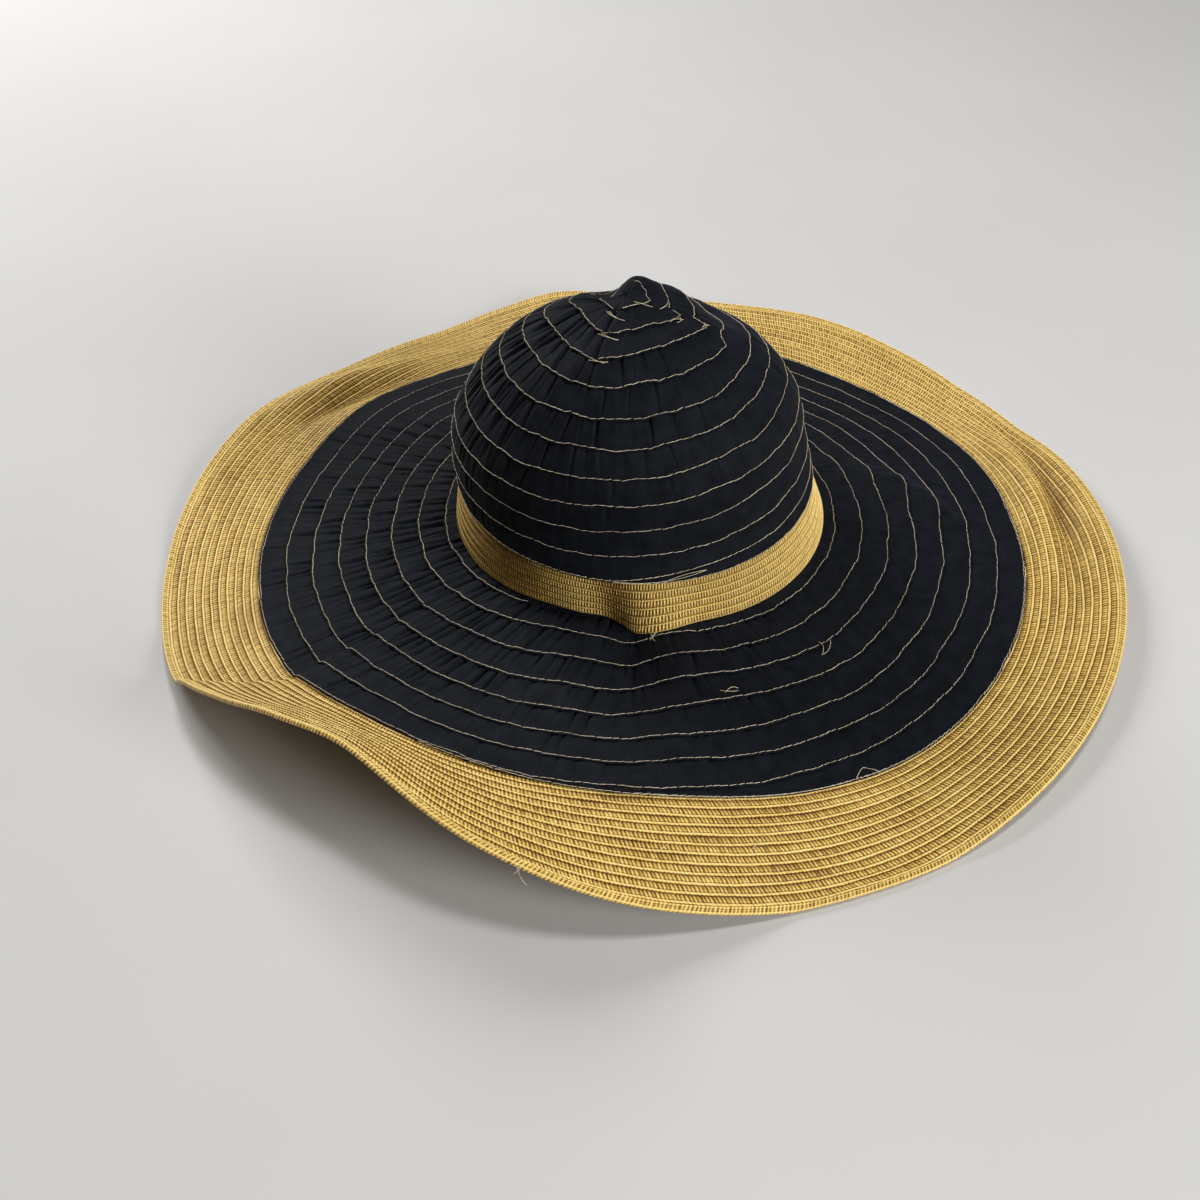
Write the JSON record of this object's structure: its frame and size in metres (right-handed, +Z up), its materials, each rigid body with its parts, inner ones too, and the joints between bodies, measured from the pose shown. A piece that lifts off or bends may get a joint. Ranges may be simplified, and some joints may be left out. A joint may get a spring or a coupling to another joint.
{
  "type": "wide-brim sun hat",
  "caption": "Floppy sun hat: round soft crown and inner brim of sewn black ribbon, straw braid band and wide straw braid outer brim, lying on its wavy rim.",
  "frame": {"origin": "on the floor, under the middle of the hat's box", "axes": "+Z up through the crown, -Y towards the hat's front, +X towards its right as seen from the front"},
  "size_m": [0.4886, 0.4896, 0.1587],
  "materials": {
    "ribbon": "matte fine-ribbed ribbon",
    "straw": "satin straw braid"
  },
  "bodies": {
    "root": {"ribbon_crown": "ribbon", "straw_band": "straw", "ribbon_brim": "ribbon", "straw_brim": "straw", "rim_braid": "straw"}
  },
  "joints": []
}
